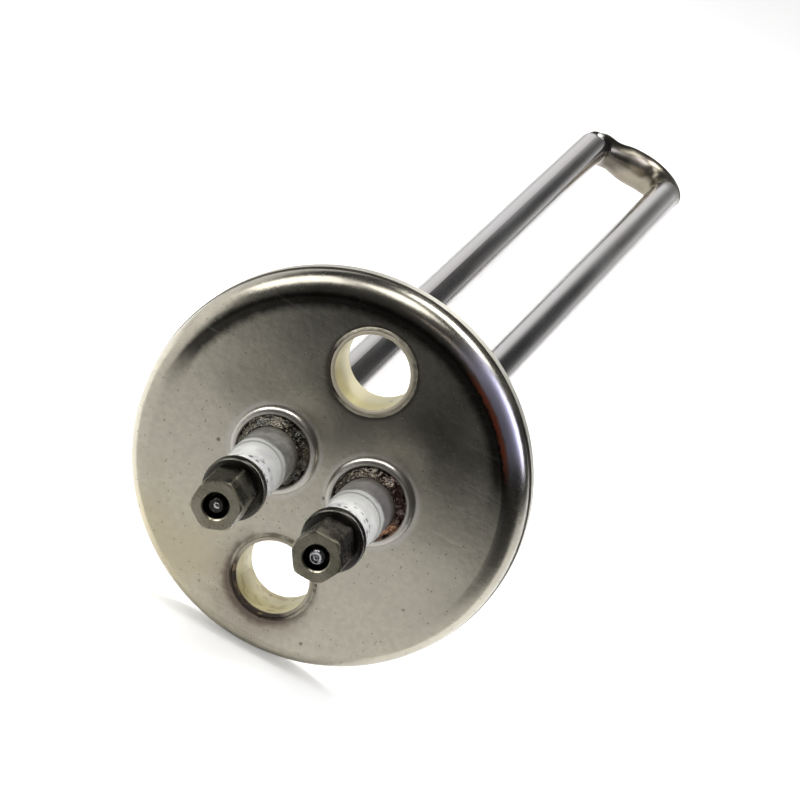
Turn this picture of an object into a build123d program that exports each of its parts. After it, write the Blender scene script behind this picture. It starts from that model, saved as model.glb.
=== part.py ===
from build123d import *
from math import exp, pi, sin
import os

# Water-heater element: a hairpin sheath brazed through a round pressed cap.
# +Y runs through the cap into the tank, the terminals point to -Y, and +Z is up.
# The origin is the centre of the flat inside face of the cap, where its seal sits.
# All sizes are millimetres.

# Pressed cap
flange_d = 72.0
plate_t = 2.0
skirt_wall = 2.0
skirt_depth = 5.5
shoulder_r = 4.0
inside_r = 1.6
foot_step = 0.25
foot_width = 2.5
foot_edge = 0.35
ridge_r = 8.0
ridge_width = 1.5
ridge_height = 1.3
ridge_round_out = 0.9
ridge_round_in = 0.4

# Hairpin
sheath_d = 8.0
sheath_wall = 0.8
leg_pitch = 19.0
far_pitch = 22.5
far_twist = 1.8
far_reach = 310.0
far_skew = 12.0
bend_r = 6.5
press_flat = 0.6
press_spread = 0.9
press_stations = 14
press_dip_at = 0.29
press_dip_width = 0.1
braze_gap = 0.05

# Stack in front of the cap, measured along each leg from the cap's front face
ferrule_d = 10.2
ferrule_len = 12.5
sheath_out = 11.5
seal_len = 5.0
insulator_d = 9.6
insulator_len = 11.5
insulator_round = 0.5
collar_d = 11.0
collar_len = 2.0
collar_round = 0.7
hex_af = 8.0
hex_len = 9.8
hex_turned_d = 8.3
socket_d = 4.4
socket_depth = 3.0
socket_chamfer = 0.3
hex_edge = 0.25
hex_turn = {"left": 23.0, "right": 0.0}

# Inner conductor
pin_d = 2.8
pin_short = 0.3
pin_chamfer = 0.25
pin_inside = 45.0
coil_d = 4.2
coil_lap = 8.0

# Braze cone round each leg
cone_foot = 1.4
cone_height = 3.4
cone_lip = 0.5
cone_arc = 4.0

# Bushes
bush_pitch = 42.0
bush_d = 14.8
bush_wall = 0.7
bush_front = 0.45
bush_back = 8.0
bush_round = 0.3
bush_braze_w = 0.65
bush_braze_h = 0.4
bush_braze_toe = 0.15
bush_braze_knee = 0.24

side_sign = {"left": -1.0, "right": 1.0}
front_y = -plate_t
ferrule_r = ferrule_d / 2
pin_r = pin_d / 2
coil_r = coil_d / 2
bush_bore = bush_d - 2 * bush_wall
hex_front = ferrule_len + insulator_len + collar_len + hex_len


def leg_root(side):
    return Vector(side_sign[side] * leg_pitch / 2, 0, 0)


def leg_corner(side):
    # The right leg reaches farther, so the cross piece lies askew
    reach = far_reach + (far_skew if side == "right" else 0)
    return Vector(side_sign[side] * far_pitch / 2, reach, -side_sign[side] * far_twist)


def leg_way(side):
    return (leg_corner(side) - leg_root(side)).normalized()


def leg_plane(side):
    # On the cap's front face, with its normal along the leg towards the terminal
    way = leg_way(side)
    return Plane(origin=leg_root(side) - way * plate_t, x_dir=(1, 0, 0), z_dir=way * -1)


def leg_point(side, ahead):
    # A point on the leg's axis, so far ahead of the cap's front face
    return leg_root(side) - leg_way(side) * (plate_t + ahead)


def hairpin_points(ahead):
    return [
        leg_point("left", ahead),
        leg_corner("left"),
        leg_corner("right"),
        leg_point("right", ahead),
    ]


def round_run(ahead, radius):
    # A round rod along the middle of the whole hairpin
    with BuildPart() as rod:
        with BuildLine():
            middle = FilletPolyline(*hairpin_points(ahead), radius=bend_r)
        with BuildSketch(Plane(origin=middle @ 0, z_dir=middle % 0)):
            Circle(radius)
        sweep()
    return rod.part


def pressed_run(ahead, inset):
    # The sheath's own form, inset all round: round legs, and a bend that is pressed flat,
    # dips beside the left elbow and spreads from there into the right one
    radius = sheath_d / 2 - inset
    with BuildPart() as run:
        with BuildLine():
            middle = FilletPolyline(*hairpin_points(ahead), radius=bend_r)
        left_leg, left_elbow, cross, right_elbow, right_leg = middle.edges().sort_by(middle)
        for leg in (left_leg, right_leg):
            with BuildSketch(Plane(origin=leg @ 0, z_dir=leg % 0)):
                Circle(radius)
            sweep(path=Wire(leg))
        bend = Wire([left_elbow, cross, right_elbow])
        for station in range(press_stations + 1):
            share = station / press_stations
            swell = sin(pi * share)
            dip = exp(-(((share - press_dip_at) / press_dip_width) ** 2))
            way = bend % share
            upright = way.cross(Vector(0, 0, 1).cross(way))
            with BuildSketch(Plane(origin=bend @ share, x_dir=upright, z_dir=way)):
                Ellipse(radius + swell * (1 - dip) * press_spread, radius - swell * press_flat)
        loft()
    return run.part


os.makedirs("parts", exist_ok=True)

# Cap: front disc and skirt, foot band, inside pocket
with BuildPart() as flange:
    with BuildSketch(Plane.XZ.offset(-skirt_depth)):
        Circle(flange_d / 2 - foot_step)
    extrude(amount=skirt_depth + plate_t)
    fillet(flange.edges().sort_by(Axis.Y)[0], shoulder_r)
    with BuildSketch(Plane.XZ.offset(-skirt_depth)):
        Circle(flange_d / 2)
    extrude(amount=foot_width)
    chamfer(flange.edges().sort_by(Axis.Y)[-1], foot_edge)
    with BuildSketch(Plane.XZ.offset(-skirt_depth)):
        Circle(flange_d / 2 - skirt_wall)
    extrude(amount=skirt_depth, mode=Mode.SUBTRACT)
    pocket_floor = flange.faces().filter_by(GeomType.PLANE).filter_by_position(Axis.Y, -0.01, 0.01)
    fillet(pocket_floor.edges(), inside_r)
    for side in side_sign:
        with BuildSketch(leg_plane(side)):
            Circle(ridge_r)
            Circle(ridge_r - ridge_width, mode=Mode.SUBTRACT)
        ridge = extrude(amount=ridge_height)
        tops = ridge.faces().sort_by(Axis.Y)[0].edges().sort_by(SortBy.LENGTH)
        inner_top = flange.edges().filter_by(lambda e: abs(e.length - tops[0].length) < 0.001)
        outer_top = flange.edges().filter_by(lambda e: abs(e.length - tops[-1].length) < 0.001)
        fillet(inner_top.sort_by(Axis.Y)[0], ridge_round_in)
        fillet(outer_top.sort_by(Axis.Y)[0], ridge_round_out)
        with BuildSketch(leg_plane(side).offset(ridge_height)):
            Circle(sheath_d / 2 + braze_gap)
        extrude(amount=-(ridge_height + plate_t + 1), mode=Mode.SUBTRACT)
    with BuildSketch(Plane.XZ.offset(plate_t)):
        with Locations((0, bush_pitch / 2), (0, -bush_pitch / 2)):
            Circle(bush_d / 2 + braze_gap)
    extrude(amount=-plate_t, mode=Mode.SUBTRACT)
flange.part.label = "flange"
export_step(flange.part, "parts/flange.step")

# Bushes pressed through the cap, one above and one below the terminals
for name, height in (("upper_bush", bush_pitch / 2), ("lower_bush", -bush_pitch / 2)):
    with BuildPart() as bush:
        with BuildSketch(Plane.XZ.offset(-bush_back)):
            with Locations((0, height)):
                Circle(bush_d / 2)
                Circle(bush_bore / 2, mode=Mode.SUBTRACT)
        extrude(amount=bush_back + plate_t + bush_front)
        fillet(bush.faces().sort_by(Axis.Y)[0].edges(), bush_round)
    bush.part.label = name
    export_step(bush.part, "parts/" + name + ".step")

    with BuildPart() as bush_braze:
        with BuildSketch(Plane.XY.offset(height)):
            with BuildLine():
                Polyline(
                    (bush_d / 2, front_y),
                    (bush_d / 2 + bush_braze_w, front_y),
                    (bush_d / 2 + bush_braze_toe, front_y - bush_braze_knee),
                    (bush_d / 2, front_y - bush_braze_h),
                    close=True,
                )
            make_face()
        revolve(axis=Axis((0, 0, height), (0, 1, 0)))
    bush_braze.part.label = name + "_braze"
    export_step(bush_braze.part, "parts/" + name + "_braze.step")

# Sheath: one tube bent to a hairpin with a pressed cross piece
with BuildPart() as sheath:
    add(pressed_run(sheath_out, 0))
    add(pressed_run(sheath_out, sheath_wall), mode=Mode.SUBTRACT)
sheath.part.label = "sheath"
export_step(sheath.part, "parts/sheath.step")

# Heating coil: its ends lap the two pins
with BuildPart() as coil:
    add(round_run(coil_lap - pin_inside, coil_r))
    add(round_run(coil_lap - pin_inside, pin_r), mode=Mode.SUBTRACT)
coil.part.label = "heating_coil"
export_step(coil.part, "parts/heating_coil.step")

# Packed magnesia inside the coil, between the two pin ends
with BuildPart() as coil_packing:
    add(round_run(-pin_inside, pin_r))
coil_packing.part.label = "coil_packing"
export_step(coil_packing.part, "parts/coil_packing.step")

# Packed magnesia between the sheath and what it insulates
with BuildPart() as sheath_packing:
    add(pressed_run(sheath_out - seal_len, sheath_wall))
    add(round_run(sheath_out - seal_len, pin_r), mode=Mode.SUBTRACT)
    add(coil.part, mode=Mode.SUBTRACT)
sheath_packing.part.label = "sheath_packing"
export_step(sheath_packing.part, "parts/sheath_packing.step")

# One stack of pieces on each leg
for side in side_sign:
    stack = leg_plane(side)

    with BuildPart() as pin:
        with BuildSketch(stack.offset(-pin_inside)):
            Circle(pin_r)
        extrude(amount=pin_inside + hex_front - pin_short)
        chamfer(pin.edges().sort_by(Axis.Y)[0], pin_chamfer)
    pin.part.label = side + "_cold_pin"
    export_step(pin.part, "parts/" + side + "_cold_pin.step")

    with BuildPart() as seal:
        with BuildSketch(stack.offset(sheath_out - seal_len)):
            Circle(sheath_d / 2 - sheath_wall)
            Circle(pin_r, mode=Mode.SUBTRACT)
        extrude(amount=seal_len)
    seal.part.label = side + "_end_seal"
    export_step(seal.part, "parts/" + side + "_end_seal.step")

    with BuildPart() as ferrule:
        with BuildSketch(stack.offset(braze_gap)):
            Circle(ferrule_r)
            Circle(sheath_d / 2 + braze_gap, mode=Mode.SUBTRACT)
        extrude(amount=ferrule_len - braze_gap)
    ferrule.part.label = side + "_ferrule"
    export_step(ferrule.part, "parts/" + side + "_ferrule.step")

    with BuildPart() as braze:
        with BuildSketch(Plane(origin=stack.origin, x_dir=stack.x_dir, z_dir=stack.y_dir)):
            with BuildLine():
                Line((ferrule_r, -braze_gap), (ferrule_r + cone_foot, -braze_gap))
                Line((ferrule_r + cone_foot, -braze_gap), (ferrule_r + cone_foot, -cone_lip))
                RadiusArc((ferrule_r + cone_foot, -cone_lip), (ferrule_r, -cone_height), cone_arc)
                Line((ferrule_r, -cone_height), (ferrule_r, -braze_gap))
            make_face()
        revolve(axis=Axis(stack.origin, stack.z_dir))
    braze.part.label = side + "_leg_braze"
    export_step(braze.part, "parts/" + side + "_leg_braze.step")

    with BuildPart() as insulator:
        with BuildSketch(stack.offset(ferrule_len)):
            Circle(insulator_d / 2)
        extrude(amount=insulator_len)
        fillet(insulator.edges().sort_by(Axis.Y)[0], insulator_round)
        with BuildSketch(stack.offset(sheath_out)):
            Circle(sheath_d / 2)
        extrude(amount=ferrule_len - sheath_out)
        with BuildSketch(stack.offset(sheath_out)):
            Circle(pin_r)
        extrude(amount=ferrule_len - sheath_out + insulator_len, mode=Mode.SUBTRACT)
    insulator.part.label = side + "_insulator"
    export_step(insulator.part, "parts/" + side + "_insulator.step")

    with BuildPart() as terminal:
        with BuildSketch(stack.offset(ferrule_len + insulator_len + collar_len)):
            RegularPolygon(hex_af / 2, 6, major_radius=False, rotation=hex_turn[side])
        extrude(amount=hex_len)
        long_edges = terminal.edges().filter_by(lambda e: abs(e.length - hex_len) < 0.001)
        chamfer(long_edges, hex_edge)
        with BuildSketch(stack.offset(ferrule_len + insulator_len + collar_len)):
            Circle(hex_af)
        turned = extrude(amount=hex_len, mode=Mode.PRIVATE)
        turned = turned.chamfer(
            (hex_af - hex_turned_d / 2) * 0.5,
            hex_af - hex_turned_d / 2,
            [turned.edges().sort_by(Axis.Y)[0]],
        )
        add(turned, mode=Mode.INTERSECT)
        with BuildSketch(stack.offset(ferrule_len + insulator_len)):
            Circle(collar_d / 2)
        extrude(amount=collar_len)
        collar_edges = terminal.edges().filter_by(GeomType.CIRCLE).filter_by(
            lambda e: abs(e.radius - collar_d / 2) < 0.001
        )
        fillet(collar_edges.sort_by(Axis.Y)[0], collar_round)
        with BuildSketch(stack.offset(ferrule_len + insulator_len)):
            Circle(pin_r)
        extrude(amount=collar_len + hex_len, mode=Mode.SUBTRACT)
        with BuildSketch(stack.offset(hex_front)):
            Circle(socket_d / 2)
        extrude(amount=-socket_depth, mode=Mode.SUBTRACT)
        mouth = terminal.edges().filter_by(GeomType.CIRCLE).filter_by(
            lambda e: abs(e.radius - socket_d / 2) < 0.001
        )
        chamfer(mouth.sort_by(Axis.Y)[0], socket_chamfer)
    terminal.part.label = side + "_hex_terminal"
    export_step(terminal.part, "parts/" + side + "_hex_terminal.step")
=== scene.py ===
import math

import bpy
from mathutils import Matrix, Vector, noise


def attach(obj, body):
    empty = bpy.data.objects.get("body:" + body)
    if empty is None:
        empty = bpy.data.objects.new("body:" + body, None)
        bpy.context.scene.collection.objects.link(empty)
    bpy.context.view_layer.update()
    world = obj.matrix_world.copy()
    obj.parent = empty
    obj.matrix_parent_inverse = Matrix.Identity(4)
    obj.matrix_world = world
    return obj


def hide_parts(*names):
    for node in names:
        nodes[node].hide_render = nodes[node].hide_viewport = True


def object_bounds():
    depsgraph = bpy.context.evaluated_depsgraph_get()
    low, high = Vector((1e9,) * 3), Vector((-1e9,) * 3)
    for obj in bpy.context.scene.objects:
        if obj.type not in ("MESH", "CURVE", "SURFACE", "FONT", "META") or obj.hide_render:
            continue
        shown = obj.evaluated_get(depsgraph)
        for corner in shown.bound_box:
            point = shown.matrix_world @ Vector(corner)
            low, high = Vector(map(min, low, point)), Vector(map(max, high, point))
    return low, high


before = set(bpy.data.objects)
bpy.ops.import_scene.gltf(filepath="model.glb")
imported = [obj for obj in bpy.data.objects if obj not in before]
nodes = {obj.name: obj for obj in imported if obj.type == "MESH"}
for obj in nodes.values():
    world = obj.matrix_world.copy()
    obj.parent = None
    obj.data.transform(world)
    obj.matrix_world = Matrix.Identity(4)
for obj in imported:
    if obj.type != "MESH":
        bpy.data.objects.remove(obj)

cad_low, cad_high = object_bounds()

# Sizes of the part that the looks lean on, in metres
MM = 0.001
FACE_Y = -2 * MM
LEG_ROOT_X = 9.5 * MM
LEG_END = {"left": Vector((-11.25, 310, 1.8)) * MM, "right": Vector((11.25, 322, -1.8)) * MM}
FERRULE_R = 5.1 * MM
TERMINAL_FRONT = 35.8 * MM
BUSH_Z = {"upper": 21 * MM, "lower": -21 * MM}
BUSH_R = 7.4 * MM
SIGN = {"left": -1, "right": 1}


def leg_frame(side, ahead):
    """Matrix whose Z runs along the leg towards the terminal, so far ahead of the cap's face."""
    root = Vector((SIGN[side] * LEG_ROOT_X, 0, 0))
    out = (root - LEG_END[side]).normalized()
    across = Vector((1, 0, 0))
    up = out.cross(across).normalized()
    across = up.cross(out)
    turn = Matrix((across, up, out)).transposed().to_4x4()
    return Matrix.Translation(root + out * (ahead - FACE_Y)) @ turn


# Node tools

# How sharply a speckle ends, how fine the noise on a fade's front is, and how scratches are drawn
SPOT_EDGE = 1.6
FRONT_DETAIL = 4.0
SCRATCH_DETAIL = 2.0
SCRATCH_LEVELS = (0.63, 0.72)
SCRATCH_TURNS = ((0.5, 26), (-0.9, 34))

# Which sockets of a Mix node hold its two ends and its result
MIX_SOCKETS = {"RGBA": (6, 7, 2), "FLOAT": (2, 3, 0)}


def wire(tree, kind, inputs=None, **settings):
    """One new shader node, its settings made and its inputs set or linked."""
    made = tree.nodes.new(kind)
    for name, value in settings.items():
        setattr(made, name, value)
    for name, value in (inputs or {}).items():
        if isinstance(value, bpy.types.NodeSocket):
            tree.links.new(value, made.inputs[name])
        else:
            made.inputs[name].default_value = value
    return made


def maths(tree, operation, first, second, clamp=False):
    """Result of one Math node."""
    made = wire(tree, "ShaderNodeMath", {0: first, 1: second}, operation=operation, use_clamp=clamp)
    return made.outputs[0]


def rescale(tree, value, start, end, low=0.0, high=1.0, smooth=False):
    """Result of one Map Range node: start becomes low and end becomes high."""
    made = wire(
        tree, "ShaderNodeMapRange",
        {"Value": value, "From Min": start, "From Max": end, "To Min": low, "To Max": high},
        interpolation_type="SMOOTHSTEP" if smooth else "LINEAR",
    )
    return made.outputs["Result"]


def object_place(tree):
    """Place on a piece, in its Object coordinates."""
    return wire(tree, "ShaderNodeTexCoord").outputs["Object"]


def ragged(tree, given, place, reach):
    """A distance made uneven by noise, by as much as the group's Ragged input says."""
    cloud = wire(
        tree, "ShaderNodeTexNoise", {"Vector": place, "Scale": given["Scale"], "Detail": FRONT_DETAIL}
    )
    lean = maths(tree, "ADD", cloud.outputs["Fac"], -0.5)
    return maths(tree, "ADD", reach, maths(tree, "MULTIPLY", lean, given["Ragged"]))


def shape_ramp(made, stops):
    """Colour stops of a Color Ramp, each a place and a grey."""
    ramp = made.color_ramp
    while len(ramp.elements) < len(stops):
        ramp.elements.new(1)
    for element, (place, grey) in zip(ramp.elements, stops):
        element.position = place
        element.color = (grey, grey, grey, 1)


def new_group(name, inputs):
    """A node group that puts out one mask; gives its tree, its inputs by name and its output."""
    tree = bpy.data.node_groups.new(name, "ShaderNodeTree")
    for label, value in inputs.items():
        kind = "NodeSocketVector" if isinstance(value, tuple) else "NodeSocketFloat"
        socket = tree.interface.new_socket(label, in_out="INPUT", socket_type=kind)
        socket.default_value = value
    tree.interface.new_socket("Mask", in_out="OUTPUT", socket_type="NodeSocketFloat")
    return tree, wire(tree, "NodeGroupInput").outputs, wire(tree, "NodeGroupOutput").inputs["Mask"]


def group_speckle():
    """Scattered round spots: only a share of the cells holds one."""
    tree, given, out = new_group("speckle", {"Scale": 900, "Share": 0.2, "Size": 0.3})
    cells = wire(tree, "ShaderNodeTexVoronoi", {"Vector": object_place(tree), "Scale": given["Scale"]})
    spot = rescale(tree, cells.outputs["Distance"], given["Size"], 0, 0, SPOT_EDGE)
    lot = wire(tree, "ShaderNodeSeparateColor", {"Color": cells.outputs["Color"]})
    held = maths(tree, "LESS_THAN", lot.outputs["Red"], given["Share"])
    tree.links.new(maths(tree, "MULTIPLY", spot, held, clamp=True), out)
    return tree


def group_mottle():
    """Soft uneven patches, pushed to a chosen contrast."""
    tree, given, out = new_group(
        "mottle", {"Scale": 120, "From": 0.4, "To": 0.6, "Detail": 3, "Stretch": (1, 1, 1)}
    )
    pulled = wire(
        tree, "ShaderNodeVectorMath", {0: object_place(tree), 1: given["Stretch"]}, operation="MULTIPLY"
    )
    cloud = wire(
        tree, "ShaderNodeTexNoise",
        {"Vector": pulled.outputs[0], "Scale": given["Scale"], "Detail": given["Detail"]},
    )
    tree.links.new(rescale(tree, cloud.outputs["Fac"], given["From"], given["To"]), out)
    return tree


def group_patch():
    """A round patch with a ragged edge: full inside Radius, gone at Radius plus Fade; used for real stains
    and for painted light and shade.
    """
    tree, given, out = new_group(
        "patch", {"Centre": (0, 0, 0), "Radius": 0.01, "Fade": 0.005, "Ragged": 0.003, "Scale": 300}
    )
    place = object_place(tree)
    away = wire(tree, "ShaderNodeVectorMath", {0: place, 1: given["Centre"]}, operation="DISTANCE")
    reach = ragged(tree, given, place, away.outputs["Value"])
    far = maths(tree, "ADD", given["Radius"], given["Fade"])
    tree.links.new(rescale(tree, reach, far, given["Radius"], smooth=True), out)
    return tree


def group_sweep():
    """A fade along one direction, from 0 at Start to 1 at End, with a ragged front."""
    tree, given, out = new_group(
        "sweep", {"Along": (0, 1, 0), "Start": 0, "End": 0.01, "Ragged": 0.001, "Scale": 400}
    )
    place = object_place(tree)
    run = wire(tree, "ShaderNodeVectorMath", {0: place, 1: given["Along"]}, operation="DOT_PRODUCT")
    reach = ragged(tree, given, place, run.outputs["Value"])
    tree.links.new(rescale(tree, reach, given["Start"], given["End"], smooth=True), out)
    return tree


def group_scratches():
    """Fine straight scratches in two directions across the XZ face."""
    tree, given, out = new_group("scratches", {"Scale": 60, "Amount": 0.5})
    place = object_place(tree)
    total = 0.0
    for angle, stretch in SCRATCH_TURNS:
        turned = wire(
            tree, "ShaderNodeMapping",
            {"Vector": place, "Rotation": (0, angle, 0), "Scale": (1, 1, stretch)},
        )
        lines = wire(
            tree, "ShaderNodeTexNoise",
            {"Vector": turned.outputs[0], "Scale": given["Scale"], "Detail": SCRATCH_DETAIL},
        )
        total = maths(tree, "MAXIMUM", total, rescale(tree, lines.outputs["Fac"], *SCRATCH_LEVELS))
    tree.links.new(maths(tree, "MULTIPLY", total, given["Amount"], clamp=True), out)
    return tree


GROUPS = {
    "speckle": group_speckle(),
    "mottle": group_mottle(),
    "patch": group_patch(),
    "sweep": group_sweep(),
    "scratches": group_scratches(),
}


class Finish:
    """One material: its shader, and the few steps that every finish is made of."""

    def __init__(self, name, metallic, coat=0.0, specular=0.5):
        self.material = bpy.data.materials.new(name)
        self.material.use_nodes = True
        self.tree = self.material.node_tree
        self.shader = self.tree.nodes["Principled BSDF"]
        self.shader.inputs["Metallic"].default_value = metallic
        self.shader.inputs["Specular IOR Level"].default_value = specular
        self.shader.inputs["Coat Weight"].default_value = coat

    def mask(self, group, **inputs):
        """Mask of one of the groups, with its own values."""
        made = wire(self.tree, "ShaderNodeGroup", node_tree=GROUPS[group])
        for name, value in inputs.items():
            made.inputs[name.capitalize()].default_value = value
        return made.outputs["Mask"]

    def clouds(self, scale, low, high, stretch=(1, 1, 1)):
        """Soft patches: noise between low and high becomes 0 to 1."""
        return self.mask("mottle", scale=scale, stretch=stretch, **{"from": low, "to": high})

    def sweep(self, along, start, end, ragged, scale):
        """A fade along one direction, its places in millimetres."""
        return self.mask(
            "sweep", along=along, start=start * MM, end=end * MM, ragged=ragged * MM, scale=scale
        )

    def patch(self, centre, radius, fade, ragged, scale):
        """A round patch, its centre and sizes in millimetres."""
        return self.mask(
            "patch", centre=[part * MM for part in centre], radius=radius * MM, fade=fade * MM,
            ragged=ragged * MM, scale=scale,
        )

    def face_patch(self, across, up, radius, fade, ragged, scale):
        """A patch on the plane of the cap's face, in millimetres."""
        return self.patch((across, FACE_Y / MM, up), radius, fade, ragged, scale)

    def ring(self, inner, inner_fade, outer, outer_fade):
        """A band round the middle of the cap's face, soft on both sides, in millimetres."""
        inside = self.face_patch(0, 0, radius=inner, fade=inner_fade, ragged=0.8, scale=900.0)
        within = self.face_patch(0, 0, radius=outer, fade=outer_fade, ragged=0.4, scale=700.0)
        return self.times(self.mix(inside, 1.0, 0.0), within)

    def mix(self, factor, low, high):
        """Between two colours or numbers by a mask."""
        colour = isinstance(low, tuple) or isinstance(high, tuple) or (
            isinstance(low, bpy.types.NodeSocket) and low.type == "RGBA"
        )
        kind = "RGBA" if colour else "FLOAT"
        low_end, high_end, result = MIX_SOCKETS[kind]
        made = wire(self.tree, "ShaderNodeMix", data_type=kind)
        for place, value in ((0, factor), (low_end, low), (high_end, high)):
            if isinstance(value, bpy.types.NodeSocket):
                self.tree.links.new(value, made.inputs[place])
            else:
                made.inputs[place].default_value = (*value, 1) if isinstance(value, tuple) else value
        return made.outputs[result]

    def times(self, first, second):
        """Product of two masks or numbers, kept between 0 and 1."""
        return maths(self.tree, "MULTIPLY", first, second, clamp=True)

    def plus(self, first, second):
        """Sum of two masks or numbers."""
        return maths(self.tree, "ADD", first, second)

    def finish(self, colour, roughness, height, depth=0.0001, strength=1.0):
        """The material, with its colour, roughness and bump on the shader."""
        self.tree.links.new(colour, self.shader.inputs["Base Color"])
        if isinstance(roughness, bpy.types.NodeSocket):
            self.tree.links.new(roughness, self.shader.inputs["Roughness"])
        else:
            self.shader.inputs["Roughness"].default_value = roughness
        bump = wire(
            self.tree, "ShaderNodeBump", {"Height": height, "Distance": depth, "Strength": strength}
        )
        self.tree.links.new(bump.outputs["Normal"], self.shader.inputs["Normal"])
        return self.material


# Finishes, one for each kind of piece

def cap_nickel():
    f = Finish("worn nickel of the cap", 1.0)
    clouds = f.clouds(90.0, 0.3, 0.7)
    grain = f.clouds(900.0, 0.35, 0.65)
    pits = f.mask("speckle", scale=520.0, share=0.04, size=0.24)
    fine_pits = f.mask("speckle", scale=1500.0, share=0.12, size=0.30)
    lines = f.mask("scratches", scale=55.0, amount=0.6)
    colour = f.mix(clouds, (0.55, 0.515, 0.425), (0.66, 0.62, 0.505))
    colour = f.mix(f.times(grain, 0.5), colour, (0.50, 0.465, 0.39))
    # Painted dark reflection: the face is darkened towards the top.
    top = f.sweep((0.45, 0.0, 0.89), start=-2, end=22, ragged=14, scale=70.0)
    colour = f.mix(f.times(top, 0.62), colour, (0.18, 0.17, 0.145))
    # Darker patches on the upper face: part tarnish, part painted dark reflection.
    smoke = f.face_patch(-3, 11.5, radius=3, fade=10, ragged=12, scale=120.0)
    haze_and_dark_reflection = f.face_patch(16.5, 12.5, radius=2, fade=10, ragged=12, scale=120.0)
    colour = f.mix(f.times(f.plus(smoke, haze_and_dark_reflection), 0.45), colour, (0.15, 0.14, 0.11))
    straw = f.face_patch(-22, -28, radius=4, fade=16, ragged=20, scale=90.0)
    colour = f.mix(f.times(straw, 0.5), colour, (0.62, 0.53, 0.32))
    # Painted dark reflection: a near-black band just inside the shoulder, over the upper part of the face.
    upper = f.sweep((-0.12, 0.0, 0.99), start=3, end=14, ragged=6, scale=150.0)
    painted_dark_crescent = f.times(f.ring(29, 2, 32.2, 0.9), upper)
    colour = f.mix(f.times(painted_dark_crescent, 0.90), colour, (0.014, 0.013, 0.012))
    # Painted highlight: a pale lilac band on the shoulder at the upper right.
    sunny = f.face_patch(23, 26.2, radius=6, fade=10, ragged=4, scale=160.0)
    painted_lilac_highlight = f.times(f.ring(32.8, 0.6, 35, 0.8), sunny)
    colour = f.mix(f.times(painted_lilac_highlight, 0.8), colour, (0.68, 0.66, 0.86))
    warm = f.face_patch(23.5, 23.5, radius=6, fade=7, ragged=5, scale=200.0)
    rust = f.times(f.ring(31.9, 0.7, 32.8, 0.6), warm)
    colour = f.mix(f.times(rust, 0.8), colour, (0.55, 0.13, 0.06))
    # Painted dark reflection on the left of the face.
    painted_dark_patch = f.face_patch(-17, 8.5, radius=2, fade=8, ragged=10, scale=150.0)
    colour = f.mix(f.times(painted_dark_patch, 0.38), colour, (0.22, 0.205, 0.16))
    brown = f.face_patch(-1.2, -23.4, radius=6.8, fade=5, ragged=5, scale=300.0)
    colour = f.mix(f.times(brown, 0.40), colour, (0.24, 0.165, 0.12))
    # Painted shadow with some soot: a near-black crescent just outside the lower bush, at its lower left.
    soot_and_painted_shadow = f.face_patch(-0.3, -21.9, radius=7.7, fade=1.6, ragged=1.6, scale=500.0)
    colour = f.mix(f.times(soot_and_painted_shadow, 0.75), colour, (0.08, 0.050, 0.038))
    ring = f.face_patch(0, 20.8, radius=8, fade=0.8, ragged=1, scale=500.0)
    colour = f.mix(f.times(ring, 0.75), colour, (0.10, 0.085, 0.065))
    # Painted light: the skirt's foot band is painted pale, standing in for the light it catches.
    foot = f.sweep((0, 1, 0), start=2.6, end=3.4, ragged=0.4, scale=300.0)
    colour = f.mix(f.times(foot, 0.7), colour, (0.74, 0.72, 0.64))
    # Painted highlight: the ridges round the legs are painted pale.
    left_ridge, right_ridge = (
        f.face_patch(sign * 9.6, 0, radius=8, fade=1.2, ragged=0.4, scale=300.0) for sign in (-1, 1)
    )
    ridges = f.plus(left_ridge, right_ridge)
    colour = f.mix(f.times(ridges, 0.7), colour, (0.78, 0.75, 0.70))
    marks = f.plus(pits, f.times(fine_pits, 0.6))
    colour = f.mix(f.times(marks, 0.75), colour, (0.11, 0.09, 0.07))
    colour = f.mix(f.times(lines, 0.16), colour, (0.75, 0.72, 0.66))
    rough = f.mix(clouds, 0.20, 0.30)
    rough = f.mix(f.times(ridges, 0.8), rough, 0.36)
    rough = f.mix(f.plus(painted_lilac_highlight, rust), rough, 0.42)
    rough = f.mix(f.times(marks, 0.6), rough, 0.6)
    rough = f.mix(f.times(foot, 0.9), rough, 0.5)
    height = f.plus(f.times(f.clouds(260.0, 0.3, 0.7), 0.35), f.times(grain, 0.10))
    height = f.mix(f.times(marks, 0.9), height, 0.0)
    height = f.mix(f.times(lines, 0.2), height, 0.0)
    return f.finish(colour, rough, height, depth=0.00006, strength=0.7)


def bush_steel():
    f = Finish("pale plated steel of the bushes", 0.35, specular=0.4)
    clouds = f.clouds(260.0, 0.35, 0.65)
    specks = f.mask("speckle", scale=700.0, share=0.12, size=0.32)
    deep = f.sweep((0, 1, 0), start=0.5, end=4, ragged=2.2, scale=260.0)
    colour = f.mix(clouds, (0.56, 0.50, 0.25), (0.66, 0.60, 0.34))
    colour = f.mix(f.times(deep, 0.7), colour, (0.66, 0.62, 0.46))
    lip = f.sweep((0, -1, 0), start=1.6, end=2.2, ragged=0.3, scale=600.0)
    colour = f.mix(f.times(lip, 0.8), colour, (0.36, 0.32, 0.28))
    shade = f.sweep((-0.35, 0, -0.94), start=19.5, end=24, ragged=4, scale=300.0)
    colour = f.mix(f.times(lip, f.times(shade, 0.96)), colour, (0.028, 0.017, 0.012))
    tea = f.clouds(420.0, 0.52, 0.60)
    colour = f.mix(f.times(shade, f.times(tea, 0.45)), colour, (0.34, 0.24, 0.12))
    colour = f.mix(f.times(specks, 0.8), colour, (0.14, 0.11, 0.09))
    rough = f.mix(clouds, 0.40, 0.55)
    height = f.mix(specks, f.times(clouds, 0.4), 0.0)
    return f.finish(colour, rough, height, depth=0.00008, strength=0.6)


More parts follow.
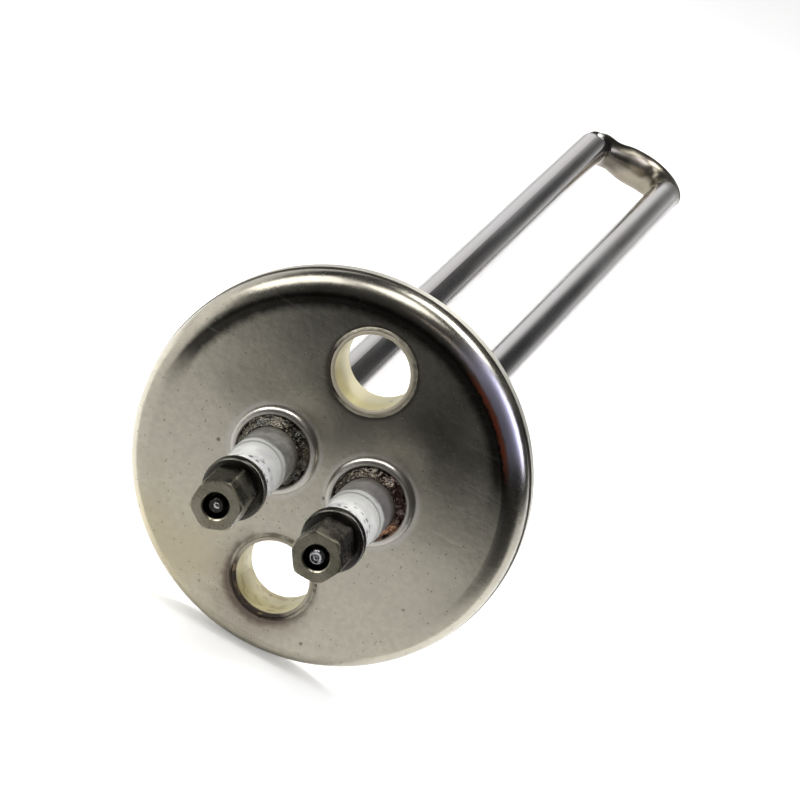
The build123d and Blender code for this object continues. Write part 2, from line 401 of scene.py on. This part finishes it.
def sheath_steel():
    f = Finish("oxidised steel of the sheath", 1.0)
    streaks = f.clouds(260.0, 0.35, 0.65, stretch=(1, 0.06, 1))
    clouds = f.clouds(60.0, 0.35, 0.65, stretch=(1, 0.4, 1))
    specks = f.mask("speckle", scale=1100.0, share=0.08, size=0.30)
    colour = f.mix(streaks, (0.47, 0.455, 0.46), (0.58, 0.565, 0.565))
    colour = f.mix(f.times(clouds, 0.5), colour, (0.50, 0.46, 0.43))
    near = f.sweep((0, -1, 0), start=-50, end=-6, ragged=12, scale=140.0)
    colour = f.mix(f.times(near, 0.6), colour, (0.44, 0.38, 0.30))
    # Painted reflection: the bend at the far end is painted darker and browner.
    far = f.sweep((0, 1, 0), start=303, end=312, ragged=6, scale=200.0)
    colour = f.mix(f.times(far, 0.85), colour, (0.27, 0.235, 0.17))
    # Painted shade in the creases of the bend's two elbows.
    right_elbow_shade = f.patch((7, 316, 1), radius=1.4, fade=2.6, ragged=2, scale=500.0)
    left_elbow_shade = f.patch((-5.5, 311, 3), radius=3.4, fade=3.6, ragged=3, scale=500.0)
    mark = f.plus(right_elbow_shade, left_elbow_shade)
    colour = f.mix(f.times(mark, 0.8), colour, (0.07, 0.065, 0.05))
    colour = f.mix(f.times(specks, 0.6), colour, (0.16, 0.14, 0.12))
    rough = f.mix(streaks, 0.13, 0.20)
    rough = f.mix(f.times(far, 0.8), rough, 0.34)
    return f.finish(colour, rough, f.times(streaks, 0.12), depth=0.00008, strength=0.5)


def ferrule_steel():
    f = Finish("dull grey steel of the sleeves", 0.25, specular=0.4)
    clouds = f.clouds(220.0, 0.35, 0.65)
    fine = f.clouds(1200.0, 0.3, 0.7)
    paste = f.sweep((0, -1, 0), start=12.4, end=13.6, ragged=4, scale=330.0)
    colour = f.mix(clouds, (0.19, 0.185, 0.165), (0.42, 0.41, 0.37))
    colour = f.mix(f.times(fine, 0.55), colour, (0.12, 0.11, 0.10))
    # Painted shade: the sleeves darken towards +X, on their right side.
    side = f.sweep((1, 0, -0.2), start=-2, end=15, ragged=3, scale=300.0)
    colour = f.mix(f.times(side, 0.55), colour, (0.13, 0.11, 0.12))
    foot = f.sweep((0, 1, 0), start=-8.5, end=-5.5, ragged=3.5, scale=500.0)
    colour = f.mix(f.times(foot, 0.85), colour, (0.09, 0.075, 0.06))
    colour = f.mix(f.times(paste, 0.9), colour, (0.55, 0.55, 0.52))
    rough = f.mix(paste, 0.48, 0.75)
    height = f.plus(f.times(paste, 0.7), f.times(fine, 0.2))
    return f.finish(colour, rough, height, depth=0.00012, strength=0.7)


def white_ceramic():
    f = Finish("white fired ceramic", 0.0, specular=0.4)
    clouds = f.clouds(180.0, 0.35, 0.65)
    rows = f.mask("speckle", scale=850.0, share=0.9, size=0.46)
    band = f.times(
        f.sweep((0, -1, 0), start=20, end=21.2, ragged=3, scale=300.0),
        f.sweep((0, 1, 0), start=-26.2, end=-25.6, ragged=1, scale=300.0),
    )
    gather = f.clouds(330.0, 0.36, 0.43)
    specks = f.times(rows, f.times(band, gather))
    stray = f.mask("speckle", scale=1200.0, share=0.05, size=0.26)
    colour = f.mix(clouds, (0.52, 0.52, 0.49), (0.66, 0.66, 0.62))
    base = f.sweep((0, 1, 0), start=-18, end=-15, ragged=3, scale=330.0)
    colour = f.mix(f.times(base, 0.4), colour, (0.42, 0.42, 0.38))
    smoke = f.clouds(260.0, 0.46, 0.66)
    colour = f.mix(f.times(smoke, 0.5), colour, (0.36, 0.34, 0.36))
    colour = f.mix(f.times(f.plus(specks, f.times(stray, 0.7)), 0.9), colour, (0.06, 0.055, 0.08))
    height = f.mix(specks, f.times(clouds, 0.3), -0.5)
    return f.finish(colour, f.mix(clouds, 0.45, 0.6), height, depth=0.00010, strength=0.7)


def terminal_nickel():
    f = Finish("tarnished nickel of the terminals", 1.0)
    clouds = f.clouds(260.0, 0.35, 0.65)
    fine = f.clouds(1400.0, 0.3, 0.7)
    specks = f.mask("speckle", scale=1600.0, share=0.10, size=0.30)
    # Lit and shaded tones of one nickel: the flats and collar are painted dark for shade, the front face
    # lighter for light.
    shaded_flats = f.mix(clouds, (0.13, 0.125, 0.095), (0.22, 0.21, 0.165))
    # Painted shade: the flats darken further towards +X and down.
    side = f.sweep((0.8, 0, -0.6), start=-2, end=13, ragged=4, scale=260.0)
    shaded_flats = f.mix(f.times(side, 0.5), shaded_flats, (0.10, 0.075, 0.095))
    shaded_collar = f.sweep((0, 1, 0), start=-30, end=-27.5, ragged=1, scale=400.0)
    shaded_flats = f.mix(f.times(shaded_collar, 0.7), shaded_flats, (0.055, 0.052, 0.050))
    front = f.mix(clouds, (0.42, 0.39, 0.29), (0.52, 0.48, 0.38))
    front = f.mix(f.times(fine, 0.35), front, (0.33, 0.30, 0.22))
    nose = f.sweep((0, -1, 0), start=36.6, end=37.4, ragged=0.4, scale=700.0)
    colour = f.mix(nose, shaded_flats, front)
    # Painted shade inside each socket: a near-black disc round the pin's end.
    for sign in (-1, 1):
        socket = f.patch(
            (sign * 9.29, -36.2, sign * 0.2), radius=2.62, fade=0.12, ragged=0.3, scale=700.0
        )
        colour = f.mix(f.times(socket, 0.96), colour, (0.02, 0.018, 0.012))
    colour = f.mix(f.times(specks, 0.6), colour, (0.07, 0.06, 0.05))
    rough = f.mix(clouds, 0.22, 0.34)
    return f.finish(colour, rough, f.times(fine, 0.3), depth=0.00005, strength=0.6)


def pin_steel(name, tone):
    f = Finish(name, 1.0)
    clouds = f.clouds(1600.0, 0.35, 0.65)
    colour = f.mix(clouds, tuple(0.55 * part for part in tone), tone)
    return f.finish(colour, f.mix(clouds, 0.14, 0.30), clouds, depth=0.00003, strength=0.5)


def leg_braze():
    f = Finish("dark glassy braze round the legs", 0.75, coat=0.5)
    clouds = f.clouds(420.0, 0.42, 0.60)
    fine = f.clouds(1700.0, 0.46, 0.58)
    colour = f.mix(clouds, (0.018, 0.017, 0.013), (0.085, 0.072, 0.050))
    colour = f.mix(f.times(fine, 0.20), colour, (0.40, 0.36, 0.28))
    red = f.sweep((0.85, 0, -0.35), start=0, end=16, ragged=8, scale=300.0)
    colour = f.mix(f.times(red, 0.5), colour, (0.10, 0.030, 0.022))
    copper = f.clouds(300.0, 0.50, 0.58)
    low = f.sweep((0.25, 0, -0.97), start=3, end=7, ragged=3, scale=300.0)
    colour = f.mix(f.times(low, copper), colour, (0.52, 0.27, 0.15))
    rough = f.mix(fine, 0.08, 0.30)
    height = f.plus(f.times(clouds, 0.75), f.times(fine, 0.25))
    return f.finish(colour, rough, height, depth=0.00020, strength=0.9)


def seam_braze():
    f = Finish("braze line round the bushes with painted shadow", 0.7)
    clouds = f.clouds(500.0, 0.42, 0.58)
    colour = f.mix(clouds, (0.30, 0.275, 0.21), (0.42, 0.39, 0.31))
    # Painted shadow: near-black on the left of the upper seam and the lower left of the lower seam.
    for across, up, radius in ((-6.9, 17.7, 3.5), (-2.4, -28.3, 6.5)):
        face_patch = f.face_patch(across, up, radius=radius, fade=3, ragged=3, scale=300.0)
        colour = f.mix(f.times(face_patch, 0.96), colour, (0.030, 0.018, 0.013))
    return f.finish(colour, f.mix(clouds, 0.28, 0.5), clouds, depth=0.00010, strength=0.7)


def packed_powder():
    f = Finish("packed magnesia", 0.0, specular=0.2)
    grains = f.clouds(2600.0, 0.3, 0.7)
    return f.finish(f.mix(grains, (0.70, 0.69, 0.66), (0.84, 0.83, 0.80)), 0.9, grains, depth=0.00005)


def coil_wire():
    f = Finish("resistance wire", 1.0)
    turns = f.clouds(900.0, 0.4, 0.6, stretch=(0.2, 1, 0.2))
    return f.finish(f.mix(turns, (0.30, 0.29, 0.28), (0.46, 0.45, 0.43)), 0.4, turns, depth=0.0001)


def seal_resin():
    f = Finish("brown sealing resin", 0.0)
    clouds = f.clouds(700.0, 0.4, 0.6)
    return f.finish(f.mix(clouds, (0.20, 0.12, 0.06), (0.30, 0.19, 0.10)), f.mix(clouds, 0.3, 0.5), clouds)


FINISHES = {
    "flange": cap_nickel(),
    "upper_bush": bush_steel(),
    "sheath": sheath_steel(),
    "left_ferrule": ferrule_steel(),
    "left_insulator": white_ceramic(),
    "left_hex_terminal": terminal_nickel(),
    # The two pins are one steel: the left end is painted dark for shade and the right end bright for
    # light.
    "left_cold_pin": pin_steel("painted dark end of the left pin", (0.10, 0.095, 0.09)),
    "right_cold_pin": pin_steel("bright end of the right pin", (0.70, 0.69, 0.72)),
    "left_leg_braze": leg_braze(),
    "upper_bush_braze": seam_braze(),
    "sheath_packing": packed_powder(),
    "heating_coil": coil_wire(),
    "left_end_seal": seal_resin(),
}
SAME_AS = {
    "lower_bush": "upper_bush",
    "lower_bush_braze": "upper_bush_braze",
    "coil_packing": "sheath_packing",
}

for name, piece in nodes.items():
    source = name if name in FINISHES else SAME_AS.get(name, name.replace("right_", "left_"))
    for slot in piece.material_slots:
        slot.material = FINISHES[source]


# Own pieces

RING_SIDES = 72
RING_CHORD = math.cos(math.pi / RING_SIDES)
SMOOTH_LEVELS = 2

# What counts as facing straight up or down, and as lying on the bed
STRAIGHT_UP = 0.9
ON_THE_BED = 1e-6

# Poured braze: how far each step goes out from the wall that it is poured against, and how high,
# how far the inner side is sunk into that wall, and how deep the coarse and fine lumps are
LEG_BRAZE_STEPS = ((1.46, 0.75), (1.15, 1.25), (0.75, 1.70), (0.40, 2.45), (0.15, 3.20))
LEG_BRAZE_SUNK = 0.04
LEG_BRAZE_LUMPS = (0.65, 0.28)
BUSH_SEAM_STEPS = ((0.62, 0.10), (0.40, 0.22), (0.15, 0.36))
BUSH_SEAM_SUNK = 0.02
BUSH_SEAM_LUMPS = (0.16, 0.07)

# Ends of the pins: the crown's steps go in and then up, and the bead is pressed and shifted
PIN_END = TERMINAL_FRONT - 0.3 * MM
CROWN_R = 1.12 * MM
CROWN_THICKNESS = 0.12 * MM
CROWN_STEPS = ((0.10, 0.10), (0.16, 0.02), (0.16, -0.14), (0.24, -0.05), (0.10, 0.08), (0.10, -0.02))
CROWN_LUMPS = (0.05, 0.03)
BEAD_R = 0.62 * MM
BEAD_FORM = (1, 0.86, 0.42)
BEAD_SHIFT = (0.15 * MM, 0.1 * MM, 0)
BEAD_LUMPS = (0.10, 0.05)

# How close together the coarse and fine lumps lie
COARSE_SCALE = 420
FINE_SCALE = 1500


def clear_choice():
    """Nothing is selected."""
    bpy.ops.object.select_all(action="DESELECT")


def choose_faces(piece, wanted):
    """Select in edit mode the faces that the test accepts."""
    bpy.ops.object.mode_set(mode="OBJECT")
    for polygon in piece.data.polygons:
        polygon.select = wanted(polygon)
    bpy.ops.object.mode_set(mode="EDIT")


def choose_edges(piece, wanted):
    """Select in edit mode the edges of which both ends pass the test."""
    bpy.ops.object.mode_set(mode="OBJECT")
    mesh = piece.data
    for part in (mesh.polygons, mesh.edges, mesh.vertices):
        for one in part:
            one.select = False
    for edge in mesh.edges:
        edge.select = all(wanted(mesh.vertices[end].co) for end in edge.vertices)
    bpy.ops.object.mode_set(mode="EDIT")


def step_face(inset, lift):
    """Inset the selected face and lift it."""
    bpy.ops.mesh.inset(thickness=inset)
    bpy.ops.transform.translate(value=(0, 0, lift))


def start_from_top(piece, name):
    """Name a new primitive, apply its place and select its top face in edit mode."""
    piece.name = name
    bpy.ops.object.transform_apply(location=True, rotation=True, scale=True)
    bpy.ops.object.mode_set(mode="EDIT")
    bpy.ops.mesh.select_mode(type="FACE")
    bpy.ops.mesh.select_all(action="DESELECT")
    choose_faces(piece, lambda face: face.normal.z > STRAIGHT_UP)


def smoothed(piece):
    """The piece with a subdivision surface applied."""
    smooth = piece.modifiers.new("smooth", "SUBSURF")
    smooth.levels = smooth.render_levels = SMOOTH_LEVELS
    bpy.ops.object.modifier_apply(modifier=smooth.name)
    return piece


def poured_ring(name, wall, sunk, steps):
    """A closed ring of metal poured against a round wall: it steps in and up to its inner side."""
    (radius, height), *others = [(wall + out * MM, up * MM) for out, up in steps]
    clear_choice()
    bpy.ops.mesh.primitive_cylinder_add(
        vertices=RING_SIDES, radius=radius, depth=height, location=(0, 0, height / 2)
    )
    piece = bpy.context.object
    start_from_top(piece, name)
    for next_radius, next_height in others:
        step_face((radius - next_radius) * RING_CHORD, next_height - height)
        radius, height = next_radius, next_height
    bpy.ops.mesh.inset(thickness=(radius - wall + sunk * MM) * RING_CHORD)
    bpy.ops.mesh.extrude_region_move(TRANSFORM_OT_translate={"value": (0, 0, -height)})
    bpy.ops.mesh.delete(type="FACE")
    choose_faces(piece, lambda face: face.normal.z < -STRAIGHT_UP and len(face.vertices) > 4)
    bpy.ops.mesh.delete(type="ONLY_FACE")
    bpy.ops.mesh.select_mode(type="EDGE")
    choose_edges(piece, lambda point: abs(point.z) < ON_THE_BED)
    bpy.ops.mesh.bridge_edge_loops()
    bpy.ops.mesh.select_all(action="SELECT")
    bpy.ops.mesh.normals_make_consistent(inside=False)
    bpy.ops.object.mode_set(mode="OBJECT")
    return smoothed(piece)


def copy_of(piece, name):
    """A copy with its own mesh."""
    made = piece.copy()
    made.data = piece.data.copy()
    made.name = name
    bpy.context.scene.collection.objects.link(made)
    return made


def settle(piece, matrix):
    """Put a piece in its place in its own mesh, and leave its object at the origin."""
    piece.data.transform(matrix)
    piece.matrix_world = Matrix.Identity(4)


def rise(height, start, span):
    """0 where a piece lies on its bed, and 1 from a span above it."""
    return min(1.0, max(0.0, (height - start) / span))


def make_lumpy(piece, depths, freedom=lambda point: 1.0):
    """Poured surface: every point moves along its normal, less where it touches its bed."""
    coarse, fine = (depth * MM for depth in depths)
    for point in piece.data.vertices:
        free = freedom(point.co)
        roll = noise.noise(point.co * COARSE_SCALE) * coarse + noise.noise(point.co * FINE_SCALE) * fine
        point.co += point.normal * roll * free
    piece.data.update()


def dress(piece, finish, slot, *replaced):
    """Finish and body of a new piece, and the CAD nodes it stands for; the slot argument is not used."""
    piece.data.materials.clear()
    piece.data.materials.append(finish)
    clear_choice()
    piece.select_set(True)
    bpy.context.view_layer.objects.active = piece
    bpy.ops.object.shade_smooth()
    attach(piece, "root")
    if replaced:
        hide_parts(*replaced)


# Braze poured round each leg, from the ridge up the sleeve
cone = poured_ring("left_braze_ring", FERRULE_R, LEG_BRAZE_SUNK, LEG_BRAZE_STEPS)
for side, ring in (("left", cone), ("right", copy_of(cone, "right_braze_ring"))):
    axis = leg_frame(side, 0)
    settle(ring, axis)
    to_leg = axis.inverted()
    make_lumpy(ring, LEG_BRAZE_LUMPS, lambda point: rise((to_leg @ point).z, 0.1 * MM, 0.5 * MM))
    dress(ring, FINISHES["left_leg_braze"], "leg_braze", side + "_leg_braze")

# Thin uneven braze seam round each bush
seam = poured_ring("upper_bush_seam", BUSH_R, BUSH_SEAM_SUNK, BUSH_SEAM_STEPS)
for side, ring in (("upper", seam), ("lower", copy_of(seam, "lower_bush_seam"))):
    turn = Matrix.Rotation(math.radians(90), 4, "X")
    settle(ring, Matrix.Translation((0, FACE_Y, BUSH_Z[side])) @ turn)
    make_lumpy(ring, BUSH_SEAM_LUMPS, lambda point: rise(FACE_Y - point.y, 0, 0.15 * MM))
    dress(ring, FINISHES["upper_bush_braze"], "dark_braze", side + "_bush_braze")

# Crown of the right pin in its socket: a dished disc
clear_choice()
bpy.ops.mesh.primitive_cylinder_add(
    vertices=48, radius=CROWN_R, depth=CROWN_THICKNESS, location=(0, 0, CROWN_THICKNESS / 2)
)
crown = bpy.context.object
start_from_top(crown, "right_pin_crown")
for inset, lift in CROWN_STEPS:
    step_face(inset * MM, lift * MM)
bpy.ops.object.mode_set(mode="OBJECT")
smoothed(crown)
settle(crown, leg_frame("right", PIN_END))
make_lumpy(crown, CROWN_LUMPS)
dress(crown, FINISHES["right_cold_pin"], "pin_steel")

# Small bead on the left pin, its very bright steel a painted glint
clear_choice()
bpy.ops.mesh.primitive_uv_sphere_add(segments=32, ring_count=16, radius=BEAD_R, location=(0, 0, 0))
bead = bpy.context.object
bead.name = "left_pin_bead"
bpy.ops.object.mode_set(mode="EDIT")
bpy.ops.mesh.select_all(action="SELECT")
bpy.ops.transform.resize(value=BEAD_FORM)
bpy.ops.object.mode_set(mode="OBJECT")
settle(bead, leg_frame("left", PIN_END) @ Matrix.Translation(BEAD_SHIFT))
make_lumpy(bead, BEAD_LUMPS)
dress(bead, pin_steel("bright bead of the left pin", (0.90, 0.89, 0.90)), "pin_steel")


# Camera at the photo's place: right, up and back of the view, as found from the cap and terminals
CAMERA_PLACE = (0.0643, -0.5367, 0.1982)
VIEW_RIGHT = (0.8768, 0.2356, 0.4193)
VIEW_UP = (-0.4699, 0.2343, 0.851)
VIEW_BACK = (0.1023, -0.9432, 0.3162)
LENS = 148.95
SENSOR_WIDTH = 36
SEEN_FROM, SEEN_TO = 0.01, 50

camera_data = bpy.data.cameras.new("camera")
camera_data.sensor_width = SENSOR_WIDTH
camera_data.lens = LENS
camera_data.clip_start = SEEN_FROM
camera_data.clip_end = SEEN_TO
camera = bpy.data.objects.new("camera", camera_data)
bpy.context.scene.collection.objects.link(camera)
view = Matrix((VIEW_RIGHT, VIEW_UP, VIEW_BACK)).transposed().to_4x4()
camera.matrix_world = Matrix.Translation(CAMERA_PLACE) @ view
bpy.context.scene.camera = camera


# Stage: a pale floor just under the cap
FLOOR_Z = cad_low.z - 0.2 * MM
FLOOR_R = 9
FLOOR_COLOUR = (0.90, 0.90, 0.89, 1)
FLOOR_LIFT = 0.30


def bare_material(name):
    """A new material without nodes, and its tree."""
    made = bpy.data.materials.new(name)
    made.use_nodes = True
    made.node_tree.nodes.clear()
    return made, made.node_tree


clear_choice()
bpy.ops.mesh.primitive_circle_add(
    vertices=96, radius=FLOOR_R, fill_type="NGON", location=(0, 0, FLOOR_Z)
)
floor = bpy.context.object
floor.name = "floor"
paper, tree = bare_material("pale floor")
path = wire(tree, "ShaderNodeLightPath")
matt = wire(tree, "ShaderNodeBsdfDiffuse", {"Color": FLOOR_COLOUR})
lift = wire(tree, "ShaderNodeEmission", {"Color": (1, 1, 1, 1), "Strength": FLOOR_LIFT})
lifted = wire(tree, "ShaderNodeAddShader", {0: matt.outputs[0], 1: lift.outputs[0]})
seen = wire(
    tree, "ShaderNodeMixShader",
    {0: path.outputs["Is Camera Ray"], 1: matt.outputs[0], 2: lifted.outputs[0]},
)
wire(tree, "ShaderNodeOutputMaterial", {"Surface": seen.outputs[0]})
floor.data.materials.append(paper)


# A graded card glowing on the floor in front of the object, seen only in its reflections, where it paints
# the
# reflected light and shade: its grey falls along one direction over a span, and two pools of light lie on
# it
CARD_SIZE = 6
CARD_PLACE = (0.05, -3.004, FLOOR_Z + 0.001)
CARD_WAY = (0.58, -0.81, 0)
CARD_SPAN = 0.2
CARD_GREYS = (
    (0.10, 0.74), (0.30, 0.70), (0.36, 0.50), (0.43, 0.26), (0.52, 0.13), (0.62, 0.07), (0.80, 0.03)
)
CARD_POOLS = (((0.022, -0.094, 0), 0.030, 0.55), ((-0.044, -0.165, 0), 0.040, 0.17))
POOL_CORE = 0.2

bpy.ops.mesh.primitive_plane_add(size=CARD_SIZE, location=CARD_PLACE)
card = bpy.context.object
card.name = "graded_card"
bpy.ops.object.transform_apply(location=True, rotation=False, scale=False)
card.visible_camera = card.visible_diffuse = card.visible_shadow = card.visible_transmission = False
grade, tree = bare_material("graded card")
place = object_place(tree)
away = wire(tree, "ShaderNodeVectorMath", {0: place, 1: CARD_WAY}, operation="DOT_PRODUCT")
shades = wire(tree, "ShaderNodeValToRGB", {"Fac": rescale(tree, away.outputs["Value"], 0, CARD_SPAN)})
shape_ramp(shades, CARD_GREYS)
level = wire(tree, "ShaderNodeRGBToBW", {"Color": shades.outputs[0]}).outputs[0]
flat = wire(tree, "ShaderNodeVectorMath", {0: place, 1: (1, 1, 0)}, operation="MULTIPLY")
for middle, radius, power in CARD_POOLS:
    gap = wire(tree, "ShaderNodeVectorMath", {0: flat.outputs[0], 1: middle}, operation="DISTANCE")
    pool = rescale(tree, gap.outputs["Value"], radius, POOL_CORE * radius, 0.0, power, smooth=True)
    level = maths(tree, "ADD", level, pool)
glow = wire(tree, "ShaderNodeEmission", {"Strength": level})
wire(tree, "ShaderNodeOutputMaterial", {"Surface": glow.outputs[0]})
card.data.materials.append(grade)


# World: white to the camera, even grey light, and in reflections pale where a direction falls
# low against DARK_WAY and dark elsewhere
EVEN_LIGHT = 0.55
DARK_WAY = (0.58, -0.35, 1)
PALE_UNTIL, DARK_FROM = -0.20, -0.04
PALE_LEVEL, DARK_LEVEL = 0.95, 0.03

world = bpy.data.worlds.new("studio")
bpy.context.scene.world = world
world.use_nodes = True
tree = world.node_tree
tree.nodes.clear()
path = wire(tree, "ShaderNodeLightPath")
way = wire(tree, "ShaderNodeTexCoord").outputs["Generated"]
tilt = wire(tree, "ShaderNodeVectorMath", {0: way, 1: DARK_WAY}, operation="DOT_PRODUCT")
dark_side = rescale(
    tree, tilt.outputs["Value"], PALE_UNTIL, DARK_FROM, PALE_LEVEL, DARK_LEVEL, smooth=True
)
mirrored = wire(
    tree, "ShaderNodeMix", {0: path.outputs["Is Glossy Ray"], 2: EVEN_LIGHT, 3: dark_side},
    data_type="FLOAT",
)
shown = wire(
    tree, "ShaderNodeMix", {0: path.outputs["Is Camera Ray"], 2: mirrored.outputs[0], 3: 1.0},
    data_type="FLOAT",
)
sky = wire(tree, "ShaderNodeBackground", {"Color": (1, 1, 1, 1), "Strength": shown.outputs[0]})
wire(tree, "ShaderNodeOutputWorld", {"Surface": sky.outputs[0]})


def soft_lamp(name, place, size, power, colour=(1, 1, 1)):
    """A rectangular softbox at a place, turned to face the cap."""
    data = bpy.data.lights.new(name, "AREA")
    data.shape = "RECTANGLE"
    data.size, data.size_y = size
    data.energy = power
    data.color = colour
    lamp = bpy.data.objects.new(name, data)
    lamp.location = place
    lamp.rotation_mode = "QUATERNION"
    lamp.rotation_quaternion = (-Vector(place)).to_track_quat("-Z", "Y")
    bpy.context.scene.collection.objects.link(lamp)


# Lamps: place, size, power and colour
soft_lamp("key_left", (-0.55, -0.12, 0.50), (0.45, 0.45), 2.5)
soft_lamp("top", (-0.12, -0.10, 0.75), (0.35, 0.35), 1.9)
soft_lamp("back_top", (0.09, 0.28, 0.42), (0.30, 0.20), 1.7)
soft_lamp("right_window", (0.58, 0.19, 0.38), (0.14, 0.40), 1.6, (0.86, 0.87, 1.0))
soft_lamp("front_slit", (0.15, -0.60, 0.50), (0.30, 0.03), 0.10, (1.0, 0.92, 0.92))

bpy.context.scene.view_settings.view_transform = "Standard"
